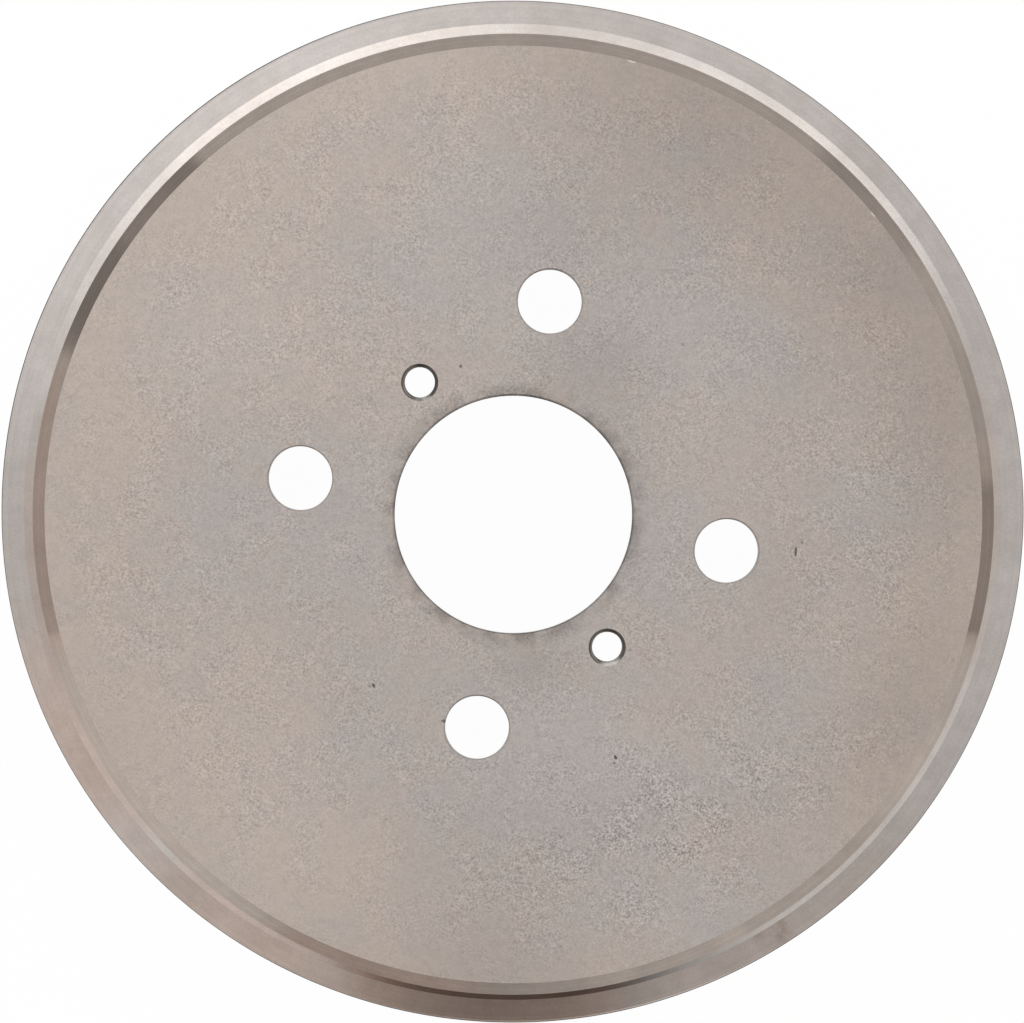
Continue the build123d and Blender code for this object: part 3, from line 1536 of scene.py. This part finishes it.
@dataclass(frozen=True)
class Studio:
    """Pale floor, white surroundings and dark cards.

    Args:
        room_level: Level of the room's even light.
        floor_share: How much of the floor's white stays in a shadow.
        floor_level: How pale the floor is for the light that it throws back.
        floor_size: Its side, in metres.
        floor_gap: How far it lies below the drum's lip, in mm.
    """

    room_level: float = 0.7
    floor_share: float = 0.975
    floor_level: float = 0.8
    floor_size: float = 12.0
    floor_gap: float = 0.1

    @staticmethod
    def seen(wiring: Wiring) -> NodeSocket:
        """Tell the rays that see from those that light.

        Args:
            wiring: The tree that needs it.

        Returns:
            1 for rays from the camera, from metal and through glass, and 0 for light.
        """
        path = wiring.node("LightPath", {}).outputs
        either = wiring.maths("MAXIMUM", path["Is Camera Ray"], path["Is Glossy Ray"])
        return wiring.maths("MAXIMUM", either, path["Is Transmission Ray"])

    def surround(self) -> None:
        """Make the world: white where it is seen, softer where it only lights."""
        world = bpy.data.worlds.new("white_room")
        bpy.context.scene.world = world
        wiring = Wiring(world)
        world.cycles.sampling_method = "NONE"
        wiring.tree.nodes.clear()
        white = (1, 1, 1, 1)
        room, bright = (
            wiring.add("Background", {"Color": white, "Strength": level})
            for level in (self.room_level, 1.0)
        )
        mixed = wiring.mix(self.seen(wiring), room, bright)
        wiring.node("OutputWorld", {"Surface": mixed})

    @staticmethod
    def sheet(name: str, size: float = 1.0, height: float = 0.0) -> tuple[Object, Wiring]:
        """Lay a square sheet with an empty material that is no lamp.

        Args:
            name: The sheet's name.
            size: Its side, in metres.
            height: Where it lies, in metres.

        Returns:
            The sheet, and its material's wiring.
        """
        bpy.ops.object.select_all(action="DESELECT")
        bpy.ops.mesh.primitive_plane_add(size=size, location=(0, 0, height))
        sheet = bpy.context.object
        sheet.name = name
        wiring = Wiring(bpy.data.materials.new(f"{name}_paint"))
        wiring.tree.nodes.clear()
        wiring.owner.cycles.emission_sampling = "NONE"
        sheet.data.materials.append(wiring.owner)
        report(sheet)
        return sheet, wiring

    def floor(self) -> None:
        """Lay the pale floor, which keeps a faint shadow and is clear from below."""
        floor, wiring = self.sheet("studio_floor", self.floor_size, -self.floor_gap * MM)
        pale, faint = (
            wiring.add("BsdfDiffuse", {"Color": (level, level, level, 1)})
            for level in (self.floor_level, 1 - self.floor_share)
        )
        white = wiring.add("Emission", {"Strength": self.floor_share})
        shown = wiring.add("AddShader", {0: white, 1: faint})
        top = wiring.mix(self.seen(wiring), pale, shown)
        below = wiring.add("NewGeometry", {}, "Backfacing")
        clear = wiring.add("BsdfTransparent", {})
        wiring.node("OutputMaterial", {"Surface": wiring.mix(below, top, clear)})

    def card(self, name: str, corners: Sequence[Triple], level: float) -> None:
        """Stand a dark card that only the metal's reflections show.

        Args:
            name: The card's name.
            corners: Right, up and height of its four corners, in metres.
            level: How dark it is, from 0 for black to 1 for white.
        """
        card, wiring = self.sheet(name)
        for vertex, corner in zip(card.data.vertices, corners):
            vertex.co = PICTURE.place(*corner)
        glow = wiring.add("Emission", {"Strength": level})
        wiring.node("OutputMaterial", {"Surface": glow})
        card.visible_camera = False
        card.visible_diffuse = False
        card.visible_shadow = False


@dataclass(frozen=True)
class OverheadCamera:
    """Long-lens camera that looks almost straight down on the wheel face.

    Args:
        face_height: Height of the wheel face, in mm.
        distance: From the wheel face, in mm.
        focal_length: In mm.
        sensor: Width of the sensor, in mm.
        lean: How far the view leans right and up from the axis, as slopes.
        aim: Where it aims, right and up from the axis, in mm.
        clip: Nearest and farthest that it shows, in metres.
    """

    face_height: float
    distance: float = 1770.0
    focal_length: float = 269.3
    sensor: float = 36.0
    lean: Pair = (-0.004, 0.0142)
    aim: Pair = (-0.337, 0.758)
    clip: Pair = (0.1, 20.0)

    def place(self) -> None:
        """Make the camera and look through it."""
        back = PICTURE.place(*self.lean, 1).normalized()
        target = PICTURE.place(*self.aim, self.face_height) * MM
        right = PICTURE.place(1, 0)
        across = (right - back * right.dot(back)).normalized()
        axes = Matrix((across, back.cross(across), back)).transposed().to_4x4()
        bpy.ops.object.camera_add()
        camera = bpy.context.object
        camera.name = "overhead_camera"
        camera.data.lens = self.focal_length
        camera.data.sensor_width = self.sensor
        camera.data.clip_start, camera.data.clip_end = self.clip
        camera.matrix_world = Matrix.Translation(target + back * self.distance * MM) @ axes
        bpy.context.scene.camera = camera


SOFTBOXES = (
    Softbox("key_softbox", bearing=120, rise=39, distance=0.9, size=(0.9, 0.44), power=1.78),
    Softbox("side_softbox", bearing=57, rise=34, distance=1.1, size=(1.15, 0.32), power=1.54),
)


def mount(name: str) -> dict:
    """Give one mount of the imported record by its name."""
    return next(entry for entry in frame["record"]["mounts"] if entry["name"] == name)


def read_casting() -> DrumCasting:
    """Take the drum's size, bores and hole places from the frame.

    Returns:
        The drum.
    """
    low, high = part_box(NODE)
    bore = mount("centre_bore")["dims"]
    bolts = mount("bolt_holes")["dims"]
    jacks = [mount(f"jack_hole_{index}") for index in (1, 2)]
    web_thickness = bore["length_mm"] + 2 * DrumCasting.bore_chamfer  # one at each end
    height = (high.z - low.z) / MM
    holes = WebHoles(
        low=height - web_thickness,
        high=height,
        bolt_circle_radius=bolts["pcd_mm"] / 2,
        bolt_count=bolts["count"],
        bolt_radius=bolts["hole_r_mm"],
        jack_places=tuple((jack["pos_m"][0] / MM, jack["pos_m"][1] / MM) for jack in jacks),
        jack_drill_radius=jacks[0]["dims"]["r_mm"],
    )
    return DrumCasting(
        height=height,
        rim_radius=high.x / MM - RIM_SLACK,
        friction_radius=mount("friction_bore")["dims"]["r_mm"],
        bore_radius=bore["r_mm"],
        holes=holes,
    )


def main() -> None:
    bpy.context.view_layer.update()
    bpy.context.scene.view_settings.view_transform = "Standard"

    drum = read_casting()
    OverheadCamera(drum.height).place()
    studio = Studio()
    studio.surround()
    studio.floor()
    for softbox in SOFTBOXES:
        softbox.hang()
    studio.card("stand_foot", STAND_FOOT, level=0.18)
    studio.card("stand_column", STAND_COLUMN, level=0.03)

    casting = drum.build()
    drum.dress(casting, drum.finishes().materials())
    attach(casting, BODY)
    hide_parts(NODE)
    report(casting)


if __name__ == "__main__":
    logging.basicConfig(level=logging.INFO)
    main()
